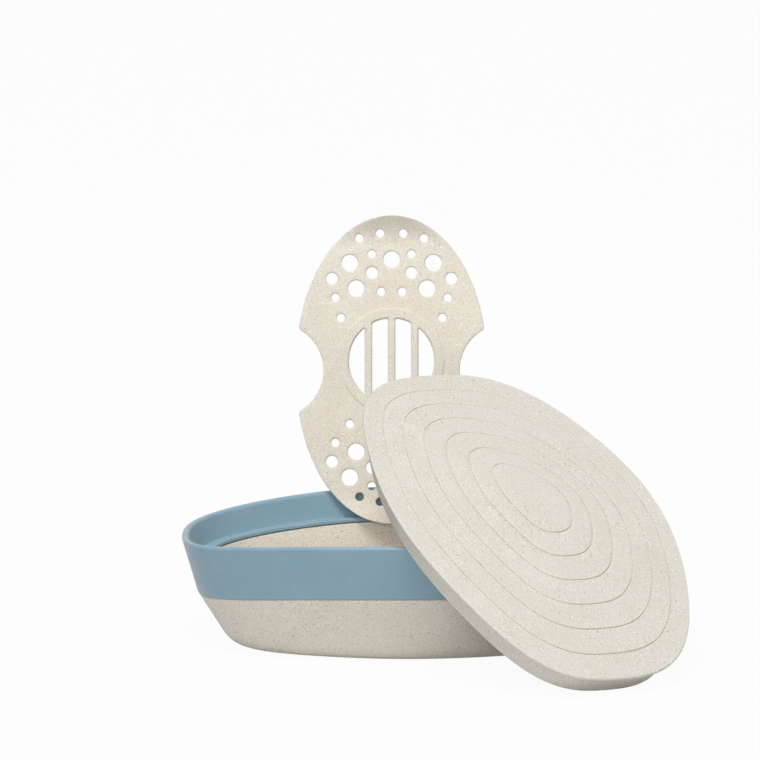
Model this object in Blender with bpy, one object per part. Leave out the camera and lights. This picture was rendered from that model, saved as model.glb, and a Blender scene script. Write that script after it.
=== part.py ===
"""Oval travel case for a shampoo bar: tray, sealing band, drain insert and lid.

The tray stands on the table with its band on. The lid is off and leans on the front of the rim, and the
insert stands in the tray, leaning on the back of the rim. Lengths are in metres, +Z is up, and the origin
lies under the middle of the tray's foot.
"""

import itertools
import math

import bmesh
import bpy
from mathutils import Euler, Matrix, Vector

# Outline of the case from above: an oval whose ends are blunt and whose sides swell a little
CASE_LENGTH = 0.1134
CASE_WIDTH = 0.0746
OUTLINE_POWER = 2.13
SWELL_SHARE = 0.013
SEGMENTS = 72

# Rim and sealing band, measured down from the crest at the middle of a long side
RIM_HEIGHT = 0.0319
RIM_DROP = 0.0044
BAND_HEIGHT = 0.0139
BAND_WALL = 0.0018
LEDGE_DEPTH = 0.0064
LEDGE_THICKNESS = 0.001
LEDGE_ROUND = 0.0003
WALL_TAPER = math.tan(math.radians(16))
FIT_GAP = 0.0003

# Tray
NECK_WALL = 0.0024
TRAY_WALL = 0.002
TRAY_FLOOR = 0.0022
FOOT_INSET = 0.0126
FOOT_CORNER = 0.0075
FLOOR_CORNER = 0.006
CORNER_STEPS = 6

# Drain insert: an oval that clears the tray's walls at the height of its seat, with both ends bent up
INSERT_THICKNESS = 0.0016
INSERT_SEAT = 0.0038
INSERT_SIDE_GAP = 0.0003
INSERT_END_GAP = 0.0054
INSERT_POWER = 2.06
BEND_RUN = 0.008
BEND_RADIUS = 0.01
BEND_STEPS = 7
TIP_HALF_WIDTH = 0.0012
ROW_STEPS = 7
NOTCH_RADIUS = 0.0117
NOTCH_REACH = 0.0171
LARGE_HOLE = 0.0021
MEDIUM_HOLE = 0.0015
SMALL_HOLE = 0.00105
HOLE_SIDES = 16
LARGE_HOLE_SHARES = ((0.0, 0.717), (0.436, 0.695), (0.369, 0.529))
MEDIUM_HOLE_SHARES = ((0.205, 0.631), (0.621, 0.593))
SMALL_HOLE_SHARES = ((0.207, 0.752), (0.109, 0.509), (0.585, 0.47))
UPPER_HOLE_SHARES = ((0.12, 0.886), (0.336, 0.855), (0.528, 0.339))
LOWER_HOLE_SHARES = ((0.12, 0.854), (0.333, 0.822), (0.435, 0.35))
WINDOW_RADIUS = 0.0107
WINDOW_OFFSET = 0.0023
WINDOW_SLOTS = 4
WINDOW_SIDES = 56
WINDOW_BAR = 0.0019
WINDOW_CORNER = 0.0006
CUT_OVERRUN = 0.003

# Insert's place: how far it leans back, how far it stands aside, and how deep below the crest its tip is
INSERT_LEAN = math.radians(14)
INSERT_X = -0.00444
INSERT_TIP_DEPTH = 0.0078

# Lid, with heights measured from the outermost line of its lip
LIP_TOP = 0.0003
LIP_ROUND = 0.0003
LIP_DEPTH = 0.0015
LIP_UNDER_ROUND = 0.001
LID_THICKNESS = 0.002
SKIRT_DEPTH = 0.006
SKIRT_WALL = 0.0016
SKIRT_GAP = 0.00025
SKIRT_ROUND = 0.0003
TERRACE_RISE = 0.0003
TERRACE_RISER = 0.0003
TERRACE_SHARES = (0.87, 0.74, 0.61, 0.48, 0.35, 0.22)
TERRACE_FOCUS_SHARES = (0.1, -0.08)
TERRACE_WAVE_SHARES = (0.12, 0.07)
TERRACE_WAVE_TURNS = (math.radians(40), math.radians(-25))
UNDERSIDE_SHARES = (0.75, 0.5, 0.25)

# Lid's place: its tilt about X, Y and Z, where its middle is before it slides on to the rim, and the
# longest slide that is tried
LID_TILT = tuple(math.radians(angle) for angle in (-2.6, 31.4, -60.2))
LID_X = 0.03895
LID_Y = -0.03654
LID_SLIDE = 0.036
SLIDE_STEPS = 72
TABLE_GAP = 0.0002

# Finishes: colour, roughness and metallic value
FINISHES = {
    "base_tray": ((0.60, 0.54, 0.46, 1.0), 0.62, 0.0),
    "sealing_band": ((0.24, 0.37, 0.45, 1.0), 0.42, 0.0),
    "drain_insert": ((0.72, 0.67, 0.57, 1.0), 0.62, 0.0),
    "lid": ((0.74, 0.71, 0.64, 1.0), 0.62, 0.0),
}

# Sizes that follow from the ones above
HALF_LENGTH = CASE_LENGTH / 2 / (1 - SWELL_SHARE)
HALF_WIDTH = CASE_WIDTH / 2 / (1 + SWELL_SHARE)
CREST_RADIUS = BAND_WALL / 2
SHOULDER_DEPTH = BAND_HEIGHT + FIT_GAP
NECK_DEPTH = LEDGE_DEPTH + LEDGE_THICKNESS + FIT_GAP
SHOULDER_INSET = WALL_TAPER * (SHOULDER_DEPTH - CREST_RADIUS)
TRAY_TAPER = (FOOT_INSET - SHOULDER_INSET) / (RIM_HEIGHT - SHOULDER_DEPTH)
FLOOR_INSET = FOOT_INSET + TRAY_WALL - TRAY_TAPER * TRAY_FLOOR
SEAT_INSET = FOOT_INSET + TRAY_WALL - TRAY_TAPER * INSERT_SEAT
INSERT_HALF_LENGTH = (HALF_LENGTH - SEAT_INSET) * (1 - SWELL_SHARE) - INSERT_END_GAP
INSERT_HALF_WIDTH = (HALF_WIDTH - SEAT_INSET) * (1 + SWELL_SHARE) - INSERT_SIDE_GAP
BEND_START = INSERT_HALF_LENGTH - BEND_RUN
TERRACE_HEIGHT = TERRACE_RISE * len(TERRACE_SHARES)


def outline_reach(turn):
    """How far the outline reaches along a turn, as a share of its half length and half width."""
    power = OUTLINE_POWER
    reach = (abs(math.cos(turn)) ** power + abs(math.sin(turn)) ** power) ** (-1 / power)
    return reach * (1 - SWELL_SHARE * math.cos(6 * turn))


def outline_xy(turn, inset):
    """A point of the case's outline, set in on all sides."""
    reach = outline_reach(turn)
    x = (HALF_LENGTH - inset) * reach * math.cos(turn)
    y = (HALF_WIDTH - inset) * reach * math.sin(turn)
    return x, y


def outline_y(x, inset):
    """Half the outline's width at x, found by halving the range of the turn."""
    low, high = 0.0, math.pi / 2
    while high - low > math.radians(0.01):
        middle = (low + high) / 2
        if outline_xy(middle, inset)[0] > abs(x):
            low = middle
        else:
            high = middle
    return outline_xy(low, inset)[1]


def arch_drop(x):
    """How far the arched rim and lid lie below their middle at x."""
    return RIM_DROP * (x / (CASE_LENGTH / 2)) ** 2


def turns():
    """The turn of each point of a ring."""
    return [math.tau * step / SEGMENTS for step in range(SEGMENTS)]


def rim_ring(inset, depth):
    """A ring that follows the arched rim, at a depth below its crest."""
    points = [outline_xy(turn, inset) for turn in turns()]
    return [Vector((x, y, RIM_HEIGHT - depth - arch_drop(x))) for x, y in points]


def flat_ring(inset, height):
    """A level ring."""
    return [Vector((*outline_xy(turn, inset), height)) for turn in turns()]


def band_outside(depth):
    """Inset of the band's outer wall at a depth."""
    return WALL_TAPER * (depth - CREST_RADIUS)


def band_inside(depth):
    """Inset of the band's inner wall at a depth."""
    return band_outside(depth) + BAND_WALL


def neck_inside(depth):
    """Inset of the tray's inner wall behind the band."""
    return band_inside(depth) + FIT_GAP + NECK_WALL


def corner_rings(upper, line, flat, reach):
    """Rings that round the corner between a sloping wall and a level face.

    The wall runs from the upper ring towards the line ring, where it would meet the level face. The corner
    starts at the given reach up the wall and ends at the flat ring.
    """
    starts = []
    for top, foot in zip(upper, line):
        slope = top - foot
        starts.append(foot + slope * min(reach / slope.length, 0.9))
    rings = []
    for step in range(CORNER_STEPS):
        share = step / (CORNER_STEPS - 1)
        rings.append(
            [
                start * (1 - share) ** 2 + foot * 2 * share * (1 - share) + end * share**2
                for start, foot, end in zip(starts, line, flat)
            ]
        )
    return rings


def add_material(name):
    """A plain material with the finish listed for a piece."""
    color, roughness, metallic = FINISHES[name]
    material = bpy.data.materials.new(name)
    material.use_nodes = True
    shader = material.node_tree.nodes["Principled BSDF"]
    shader.inputs["Base Color"].default_value = color
    shader.inputs["Roughness"].default_value = roughness
    shader.inputs["Metallic"].default_value = metallic
    return material


def add_object(name, points, faces):
    """A smooth-shaded object whose faces point out."""
    mesh = bpy.data.meshes.new(name)
    mesh.from_pydata(points, [], faces)
    work = bmesh.new()
    work.from_mesh(mesh)
    bmesh.ops.recalc_face_normals(work, faces=work.faces)
    work.to_mesh(mesh)
    work.free()
    mesh.shade_smooth()
    mesh.set_sharp_from_angle(angle=math.radians(35))
    part = bpy.data.objects.new(name, mesh)
    bpy.context.collection.objects.link(part)
    return part


def add_lofted(name, rings, closed=False):
    """A solid through a list of rings, joined back to the first ring or capped by a fan at both ends."""
    count = len(rings)
    points = [point for ring in rings for point in ring]
    faces = []
    for index in range(count if closed else count - 1):
        first = index * SEGMENTS
        second = (index + 1) % count * SEGMENTS
        for step in range(SEGMENTS):
            after = (step + 1) % SEGMENTS
            faces.append((first + step, first + after, second + after, second + step))
    if not closed:
        for ring, first in ((rings[0], 0), (rings[-1], (count - 1) * SEGMENTS)):
            middle = len(points)
            points.append(sum(ring, Vector()) / SEGMENTS)
            faces.extend((first + step, first + (step + 1) % SEGMENTS, middle) for step in range(SEGMENTS))
    part = add_object(name, points, faces)
    part.data.materials.append(add_material(name))
    return part


def build_tray():
    """The lower shell, from the middle of its foot up the outside and down the inside."""
    shoulder = rim_ring(band_outside(SHOULDER_DEPTH), SHOULDER_DEPTH)
    foot_line = flat_ring(FOOT_INSET, 0.0)
    foot_flat = flat_ring(FOOT_INSET + FOOT_CORNER, 0.0)
    outer_corner = corner_rings(shoulder, foot_line, foot_flat, FOOT_CORNER)
    inner_top = rim_ring(neck_inside(SHOULDER_DEPTH), SHOULDER_DEPTH)
    floor_line = flat_ring(FLOOR_INSET, TRAY_FLOOR)
    floor_flat = flat_ring(FLOOR_INSET + FLOOR_CORNER, TRAY_FLOOR)
    inner_corner = corner_rings(inner_top, floor_line, floor_flat, FLOOR_CORNER)
    rings = [
        *reversed(outer_corner),
        shoulder,
        rim_ring(band_inside(SHOULDER_DEPTH) + FIT_GAP, SHOULDER_DEPTH),
        rim_ring(band_inside(NECK_DEPTH) + FIT_GAP, NECK_DEPTH),
        rim_ring(neck_inside(NECK_DEPTH), NECK_DEPTH),
        inner_top,
        *inner_corner,
    ]
    return add_lofted("base_tray", rings)


def build_band():
    """The collar: a rounded crest, an inner ledge over the tray's neck, and a leg outside the neck."""
    rings = []
    for step in range(CORNER_STEPS):
        angle = math.pi * step / (CORNER_STEPS - 1)
        inset = CREST_RADIUS * (1 - math.cos(angle))
        rings.append(rim_ring(inset, CREST_RADIUS * (1 - math.sin(angle))))
    ledge_inset = neck_inside(NECK_DEPTH)
    ledge_bottom = LEDGE_DEPTH + LEDGE_THICKNESS
    rings.extend(
        (
            rim_ring(band_inside(LEDGE_DEPTH), LEDGE_DEPTH),
            rim_ring(ledge_inset - LEDGE_ROUND, LEDGE_DEPTH),
            rim_ring(ledge_inset, LEDGE_DEPTH + LEDGE_ROUND),
            rim_ring(ledge_inset, ledge_bottom),
            rim_ring(band_inside(ledge_bottom), ledge_bottom),
            rim_ring(band_inside(BAND_HEIGHT), BAND_HEIGHT),
            rim_ring(band_outside(BAND_HEIGHT), BAND_HEIGHT),
        )
    )
    return add_lofted("sealing_band", rings, closed=True)


def insert_oval(along):
    """Half the width of the insert's oval at a place along it."""
    share = min(abs(along) / INSERT_HALF_LENGTH, 1.0)
    return INSERT_HALF_WIDTH * (1 - share**INSERT_POWER) ** (1 / INSERT_POWER)


def insert_half_width(along):
    """Half the insert's width at a place along it: an oval with a round notch bitten out of each side."""
    half = insert_oval(along)
    if abs(along) < NOTCH_RADIUS:
        notch = NOTCH_REACH + NOTCH_RADIUS - math.sqrt(NOTCH_RADIUS**2 - along**2)
        half = min(half, notch)
    return half


def insert_point(across, along, below):
    """A point of the insert, below its upper face: level, and turned up in an arc at both ends."""
    past = max(abs(along) - BEND_START, 0.0)
    return Vector((across, along, BEND_RADIUS - math.sqrt((BEND_RADIUS + below) ** 2 - past**2)))


def insert_rows():
    """Each row across the insert: its place along it, and its half width there."""
    corner = next(
        along
        for along in (NOTCH_RADIUS * step / 200 for step in range(200, 0, -1))
        if insert_half_width(along) < insert_oval(along)
    )
    places = {corner * math.sin(math.pi / 2 * step / ROW_STEPS) for step in range(ROW_STEPS + 1)}
    places |= {corner + (BEND_START - corner) * step / ROW_STEPS for step in range(ROW_STEPS + 1)}
    places |= {
        BEND_START + BEND_RUN * math.sin(math.pi / 2 * step / BEND_STEPS)
        for step in range(1, BEND_STEPS + 1)
    }
    upper = [(along, max(insert_half_width(along), TIP_HALF_WIDTH)) for along in sorted(places)]
    lower = [(-along, half) for along, half in reversed(upper) if along > 0]
    return lower + upper


def build_insert_plate():
    """The insert's bent oval plate, before its holes are cut."""
    points = []
    rows = insert_rows()
    for along, half in rows:
        for below in (0.0, INSERT_THICKNESS):
            points.append(insert_point(-half, along, below))
            points.append(insert_point(half, along, below))
    faces = []
    for row in range(len(rows) - 1):
        a, b = row * 4, row * 4 + 4
        faces.append((a, a + 1, b + 1, b))
        faces.append((a + 3, a + 2, b + 2, b + 3))
        faces.append((a + 2, a, b, b + 2))
        faces.append((a + 1, a + 3, b + 3, b + 1))
    last = (len(rows) - 1) * 4
    faces.append((0, 2, 3, 1))
    faces.append((last, last + 1, last + 3, last + 2))
    plate = add_object("drain_insert", points, faces)
    plate.data.materials.append(add_material("drain_insert"))
    return plate


def add_prism(work, outline, matrix):
    """A prism through the insert, with the given outline, added to a mesh of cutters."""
    low = -INSERT_THICKNESS - CUT_OVERRUN
    lower = [work.verts.new(matrix @ Vector((x, y, low))) for x, y in outline]
    upper = [work.verts.new(matrix @ Vector((x, y, CUT_OVERRUN))) for x, y in outline]
    work.faces.new(list(reversed(lower)))
    work.faces.new(upper)
    for index in range(len(outline)):
        after = (index + 1) % len(outline)
        work.faces.new((lower[index], lower[after], upper[after], upper[index]))


def arc_points(middle, radius, start, end, sides=HOLE_SIDES):
    """Points of an arc round a middle, of a circle with the given number of sides."""
    count = max(round(sides * abs(end - start) / math.tau), 1)
    angles = [start + (end - start) * step / count for step in range(count + 1)]
    x, y = middle
    return [(x + radius * math.cos(angle), y + radius * math.sin(angle)) for angle in angles]


def window_outline(left, right):
    """A strip of the round window between two straight sides, with rounded corners."""
    reach = WINDOW_RADIUS - WINDOW_CORNER
    upper = []
    inner_right = right - WINDOW_CORNER
    inner_left = left + WINDOW_CORNER
    right_y = math.sqrt(max(reach**2 - inner_right**2, 0.0))
    left_y = math.sqrt(max(reach**2 - inner_left**2, 0.0))
    right_turn = math.atan2(right_y, inner_right)
    left_turn = math.atan2(left_y, inner_left)
    upper.extend(arc_points((inner_right, right_y), WINDOW_CORNER, 0.0, right_turn))
    upper.extend(arc_points((0.0, 0.0), WINDOW_RADIUS, right_turn, left_turn, WINDOW_SIDES)[1:-1])
    upper.extend(arc_points((inner_left, left_y), WINDOW_CORNER, left_turn, math.pi))
    outline = []
    for x, y in upper + [(x, -y) for x, y in reversed(upper)]:
        if not outline or math.dist(outline[-1], (x, y)) > WINDOW_CORNER / 10:
            outline.append((x, y))
    if math.dist(outline[0], outline[-1]) < WINDOW_CORNER / 10:
        outline.pop()
    return outline


def cut_insert(plate):
    """Cuts the drain holes and the slotted window out of the insert."""
    work = bmesh.new()
    both = (-1, 1)
    tables = (
        (LARGE_HOLE, LARGE_HOLE_SHARES, both),
        (MEDIUM_HOLE, MEDIUM_HOLE_SHARES, both),
        (SMALL_HOLE, SMALL_HOLE_SHARES, both),
        (SMALL_HOLE, UPPER_HOLE_SHARES, (1,)),
        (SMALL_HOLE, LOWER_HOLE_SHARES, (-1,)),
    )
    for radius, shares, ends in tables:
        circle = arc_points((0.0, 0.0), radius, 0.0, math.tau)[:-1]
        for (across_share, along_share), end in itertools.product(shares, ends):
            along = end * along_share * INSERT_HALF_LENGTH
            for side in both if across_share else (1,):
                place = insert_point(side * across_share * INSERT_HALF_WIDTH, along, 0.0)
                add_prism(work, circle, Matrix.Translation(place))
    width = (2 * WINDOW_RADIUS - (WINDOW_SLOTS - 1) * WINDOW_BAR) / WINDOW_SLOTS
    for slot in range(WINDOW_SLOTS):
        left = slot * (width + WINDOW_BAR) - WINDOW_RADIUS
        outline = window_outline(left, left + width)
        add_prism(work, outline, Matrix.Translation((0.0, WINDOW_OFFSET, 0.0)))
    bmesh.ops.recalc_face_normals(work, faces=work.faces)
    mesh = bpy.data.meshes.new("drain_cutter")
    work.to_mesh(mesh)
    work.free()
    cutter = bpy.data.objects.new("drain_cutter", mesh)
    bpy.context.collection.objects.link(cutter)
    cutter.parent = plate
    cutter.hide_render = True
    cutter.display_type = "WIRE"
    cut = plate.modifiers.new("drain_holes", "BOOLEAN")
    cut.operation = "DIFFERENCE"
    cut.object = cutter


def rim_back_inset(depth):
    """Inset of the surface behind the leaning insert at a depth: crest, band wall, ledge, then neck."""
    if depth < CREST_RADIUS:
        rise = CREST_RADIUS - max(depth, 0.0)
        return BAND_WALL - CREST_RADIUS + math.sqrt(CREST_RADIUS**2 - rise**2)
    if depth < LEDGE_DEPTH - FIT_GAP:
        return band_inside(depth)
    return neck_inside(max(depth, NECK_DEPTH))


def place_insert(plate):
    """Stands the insert in the tray with its back a fit gap from the rim."""
    turn = Matrix.Rotation(math.pi / 2 - INSERT_LEAN, 4, "X")
    rows = insert_rows()
    tip = turn @ insert_point(0.0, rows[0][0], INSERT_THICKNESS)
    z = RIM_HEIGHT - INSERT_TIP_DEPTH - tip.z
    room = []
    for along, half in rows:
        for share in (-1.0, -0.75, -0.5, -0.25, 0.0, 0.25, 0.5, 0.75, 1.0):
            point = turn @ insert_point(half * share, along, INSERT_THICKNESS)
            x = INSERT_X + point.x
            depth = RIM_HEIGHT - arch_drop(x) - (point.z + z)
            if depth > 0:
                room.append(outline_y(x, rim_back_inset(depth)) - point.y)
    plate.location = (INSERT_X, min(room) - FIT_GAP, z)
    plate.rotation_euler = (math.pi / 2 - INSERT_LEAN, 0.0, 0.0)


def skirt_outside(depth):
    """Inset of the skirt's outer wall at a depth below the lip, which clears the band's inner wall."""
    return band_inside(depth) + SKIRT_GAP


def lid_ring(inset, height):
    """A ring of the lid at a height over its lip's outermost line, following the arch."""
    points = [outline_xy(turn, inset) for turn in turns()]
    return [Vector((x, y, height - arch_drop(x))) for x, y in points]


def terrace_wave(turn, share):
    """How far a ring of the relief waves in and out, which grows towards the focus."""
    double, triple = TERRACE_WAVE_SHARES
    first, second = TERRACE_WAVE_TURNS
    wave = double * math.cos(2 * (turn - first)) + triple * math.cos(3 * (turn - second))
    return 1 + (1 - share) * wave


def terrace_ring(share, inset, height):
    """A ring of the relief on the lid: the outline made smaller, waved and drawn towards the focus."""
    across, along = TERRACE_FOCUS_SHARES
    ring = []
    for turn in turns():
        reach = outline_reach(turn) * terrace_wave(turn, share)
        x = (HALF_LENGTH * share - inset) * reach * math.cos(turn) + HALF_LENGTH * along * (1 - share)
        y = (HALF_WIDTH * share - inset) * reach * math.sin(turn) + HALF_WIDTH * across * (1 - share)
        ring.append(Vector((x, y, height - arch_drop(x))))
    return ring


def underside_height(share):
    """Height of the lid's underside, which bulges up in the middle as the relief does."""
    return LIP_TOP - LID_THICKNESS + TERRACE_HEIGHT * (1 - share**2)


def build_lid():
    """The lid, from the middle of its underside out over the skirt and lip, and in over the relief."""
    rings = [terrace_ring(share, 0.0, underside_height(share)) for share in reversed(UNDERSIDE_SHARES)]
    skirt_bottom = -LIP_DEPTH - SKIRT_DEPTH
    outside = skirt_outside(SKIRT_DEPTH)
    inside = outside + SKIRT_WALL
    inner_top = skirt_outside(0.0) + SKIRT_WALL
    rings.extend(
        (
            lid_ring(inner_top + LIP_DEPTH, LIP_TOP - LID_THICKNESS),
            lid_ring(inner_top, -LIP_DEPTH - LIP_ROUND),
            lid_ring(inside, skirt_bottom + SKIRT_ROUND),
            lid_ring(inside - SKIRT_ROUND, skirt_bottom),
            lid_ring(outside + SKIRT_ROUND, skirt_bottom),
            lid_ring(outside, skirt_bottom + SKIRT_ROUND),
            lid_ring(skirt_outside(0.0), -LIP_DEPTH),
            lid_ring(LIP_UNDER_ROUND, -LIP_DEPTH),
            lid_ring(0.0, LIP_UNDER_ROUND - LIP_DEPTH),
            lid_ring(0.0, LIP_TOP - LIP_ROUND),
            lid_ring(LIP_ROUND * (1 - math.sqrt(0.5)), LIP_TOP - LIP_ROUND * (1 - math.sqrt(0.5))),
            lid_ring(LIP_ROUND, LIP_TOP),
        )
    )
    for index, share in enumerate(TERRACE_SHARES):
        height = LIP_TOP + TERRACE_RISE * index
        rings.append(terrace_ring(share, 0.0, height))
        rings.append(terrace_ring(share, TERRACE_RISER, height + TERRACE_RISE))
    return add_lofted("lid", rings)


def lid_reach(point):
    """How far out a point lies under the lid, as a share of the outline, and how far in from its edge."""
    turn = math.atan2(point.y / HALF_WIDTH, point.x / HALF_LENGTH)
    edge = Vector(outline_xy(turn, 0.0))
    distance = Vector((point.x, point.y)).length
    return distance / edge.length, edge.length - distance


def lid_clearance(point):
    """Height of the lid above a point given in the lid's own axes."""
    share, inset = lid_reach(point)
    if inset < 0:
        return math.inf
    low = skirt_outside(0.0) - SKIRT_GAP
    high = skirt_outside(SKIRT_DEPTH) + SKIRT_WALL + SKIRT_GAP
    if low < inset < high:
        height = -LIP_DEPTH - SKIRT_DEPTH
    elif inset <= low:
        height = -LIP_DEPTH
    else:
        height = underside_height(share)
    return height - arch_drop(point.x) - point.z


def place_lid(lid):
    """Leans the lid on the rim with its low end on the table.

    The lid keeps its tilt and its height over the table, and slides level, up its own slope, until the rim
    is a gap away.
    """
    turn = Euler(LID_TILT).to_matrix()
    back = turn.transposed()
    normal = turn.col[2]
    downhill = Vector((normal.x, normal.y, 0.0)).normalized()
    crest = []
    for step in range(CORNER_STEPS):
        angle = math.pi * step / (CORNER_STEPS - 1)
        inset = CREST_RADIUS * (1 - math.cos(angle))
        crest.extend(rim_ring(inset, CREST_RADIUS * (1 - math.sin(angle))))
    skirt = lid_ring(skirt_outside(SKIRT_DEPTH) + SKIRT_ROUND, -LIP_DEPTH - SKIRT_DEPTH)
    start = Vector((LID_X, LID_Y, TABLE_GAP - min((turn @ point).z for point in skirt)))

    def gap(slide):
        place = start - downhill * slide
        return min(lid_clearance(back @ (point - place)) for point in crest)

    far = next(
        (step for step in range(SLIDE_STEPS) if gap(LID_SLIDE * step / SLIDE_STEPS) < FIT_GAP),
        SLIDE_STEPS,
    )
    low, high = LID_SLIDE * (far - 1) / SLIDE_STEPS, LID_SLIDE * far / SLIDE_STEPS
    while high - low > FIT_GAP / 30:
        middle = (low + high) / 2
        if gap(middle) < FIT_GAP:
            high = middle
        else:
            low = middle
    lid.location = start - downhill * low
    lid.rotation_euler = LID_TILT


def main():
    """Clears the scene and builds the four pieces in their places."""
    for old in list(bpy.data.objects):
        bpy.data.objects.remove(old)
    build_tray()
    build_band()
    plate = build_insert_plate()
    cut_insert(plate)
    place_insert(plate)
    place_lid(build_lid())


main()
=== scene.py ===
"""Dressed scene of an open travel case for a shampoo bar.

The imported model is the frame. Four shells, worked out as arrays, stand for its four solids: the
speckled tray, the soft band round its rim, the perforated drain insert that leans in it, and the
lid that leans on its front. Lengths are in metres and +Z is up.
"""

import logging
import math
from dataclasses import dataclass
from enum import Enum

import bmesh
import bpy
import numpy as np
from mathutils import Euler, Matrix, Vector
from mathutils.geometry import delaunay_2d_cdt


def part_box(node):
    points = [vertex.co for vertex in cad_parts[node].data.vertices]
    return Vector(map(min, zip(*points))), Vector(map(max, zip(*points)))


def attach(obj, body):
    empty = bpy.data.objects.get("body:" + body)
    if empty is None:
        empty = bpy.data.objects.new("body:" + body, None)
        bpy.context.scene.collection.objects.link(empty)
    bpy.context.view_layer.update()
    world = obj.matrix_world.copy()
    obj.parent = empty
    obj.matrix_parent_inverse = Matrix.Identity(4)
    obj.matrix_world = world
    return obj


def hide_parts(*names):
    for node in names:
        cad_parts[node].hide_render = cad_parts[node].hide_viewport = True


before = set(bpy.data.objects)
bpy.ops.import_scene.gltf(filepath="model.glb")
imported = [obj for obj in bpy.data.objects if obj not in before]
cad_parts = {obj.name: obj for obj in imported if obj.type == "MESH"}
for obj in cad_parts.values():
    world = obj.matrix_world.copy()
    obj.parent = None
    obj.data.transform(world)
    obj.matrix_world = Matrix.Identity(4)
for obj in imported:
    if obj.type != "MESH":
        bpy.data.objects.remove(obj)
log = logging.getLogger("case")
MILLIMETRES = 1000

# Vertices nearer than the distance become one. Edges that turn more than the angle stay sharp.
MERGE_DISTANCE = 2e-6
SHARP_ANGLE = math.radians(42)

# A round takes at most this share of the shorter run beside it, and a corner that folds back
# nearly on itself keeps this least square of its weight.
LARGEST_ROUND = 0.48
LEAST_WEIGHT = 1e-4

# A loop has at least this many points, and a run of it this least rise when it is level.
FEWEST_POINTS = 8
LEAST_RISE = 1e-12

# Specks: turn of the long ones, waves of their ragged edge in a cell, shares of their size that
# the rag and the unevenness make up, and the depths between which the edge fades in.
LONG_SPECK_TURN = (0.6, 0.5, 0.8)
RAG_SCALE = 2.3
RAG_SHARE = 0.6
UNEVEN_SHARE = 0.7
SPECK_FADE = (-0.06, 0.1)


class Corner(Enum):
    """How a ring of a profile turns into the next run."""

    ARC = "arc"
    SOFT = "soft"


@dataclass(frozen=True)
class Station:
    """A ring that a profile passes through, and how its corner there is rounded.

    Attributes:
        ring: Points of the ring, one row each.
        reach: How far the round reaches along both runs that meet here.
        corner: A true arc, or a softer parabola.
        steps: Number of facets across the round.
    """

    ring: np.ndarray
    reach: float = 0.0
    corner: Corner = Corner.ARC
    steps: int = 4


@dataclass(frozen=True)
class CaseOutline:
    """The case from above: an arched oval with blunt ends and slightly swollen sides."""

    length: float = 0.1134
    width: float = 0.0746
    power: float = 2.13
    swell: float = 0.013
    swells: int = 6
    arch: float = 0.0044
    segments: int = 320

    @property
    def half_length(self) -> float:
        """Half length of the oval before its ends are pulled in."""
        return self.length / 2 / (1 - self.swell)

    @property
    def half_width(self) -> float:
        """Half width of the oval before its sides are let out."""
        return self.width / 2 / (1 + self.swell)

    def turns(self) -> np.ndarray:
        """Angles of a ring's points."""
        return np.arange(self.segments) * (math.tau / self.segments)

    def reach(self, turn: np.ndarray) -> np.ndarray:
        """Reach of the outline along each turn.

        Formula: a superellipse's reach, (|cos|^p + |sin|^p)^(-1/p), times
        1 - swell * cos(swells * turn).

        Args:
            turn: Angles round the case.

        Returns:
            Reach as a share of the half sizes.
        """
        power = self.power
        reach = (np.abs(np.cos(turn)) ** power + np.abs(np.sin(turn)) ** power) ** (-1 / power)
        return reach * (1 - self.swell * np.cos(self.swells * turn))

    def drop(self, x: np.ndarray) -> np.ndarray:
        """How far the arch lies below its middle at x: a parabola."""
        return self.arch * (x / (self.length / 2)) ** 2

    def level_ring(self, inset: float, height: float) -> np.ndarray:
        """A level ring of the outline.

        Formula: x = (half length - inset) * reach * cos(turn), and y likewise with the half width
        and the sine.

        Args:
            inset: How far the ring is set in on all sides.
            height: Its height.

        Returns:
            Points, one row each.
        """
        turn = self.turns()
        reach = self.reach(turn)
        x = (self.half_length - inset) * reach * np.cos(turn)
        y = (self.half_width - inset) * reach * np.sin(turn)
        return np.stack((x, y, np.full_like(x, height)), axis=1)

    def arched_ring(self, inset: float, height: float) -> np.ndarray:
        """A ring that follows the arch: the level ring, let down by the drop at each x.

        Args:
            inset: How far the ring is set in on all sides.
            height: Its height in the middle of a long side.

        Returns:
            Points, one row each.
        """
        ring = self.level_ring(inset, height)
        ring[:, 2] -= self.drop(ring[:, 0])
        return ring


@dataclass(frozen=True)
class RimSection:
    """Cross-section that the tray's neck, the band and the lid's skirt share.

    Depths are measured down from the band's crest.
    """

    height: float = 0.0319
    band_height: float = 0.0139
    band_wall: float = 0.0018
    ledge_depth: float = 0.0064
    ledge_thickness: float = 0.001
    neck_wall: float = 0.0024
    taper: float = math.tan(math.radians(16))
    gap: float = 0.0003

    @property
    def crest(self) -> float:
        """Radius of the band's rounded crest."""
        return self.band_wall / 2

    @property
    def neck_depth(self) -> float:
        """Depth of the neck's top, under the ledge."""
        return self.ledge_depth + self.ledge_thickness + self.gap

    @property
    def shoulder_depth(self) -> float:
        """Depth of the tray's shoulder, under the band."""
        return self.band_height + self.gap

    def outside(self, depth: float) -> float:
        """Inset of the band's outer wall."""
        return self.taper * (depth - self.crest)

    def inside(self, depth: float) -> float:
        """Inset of the band's inner wall."""
        return self.outside(depth) + self.band_wall

    def neck(self, depth: float) -> float:
        """Inset of the neck's inner wall."""
        return self.inside(depth) + self.gap + self.neck_wall


OUTLINE = CaseOutline()
RIM = RimSection()


def rim_ring(inset: float, depth: float) -> np.ndarray:
    """An arched ring of the rim, at a depth below the band's crest."""
    return OUTLINE.arched_ring(inset, RIM.height - depth)


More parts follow.
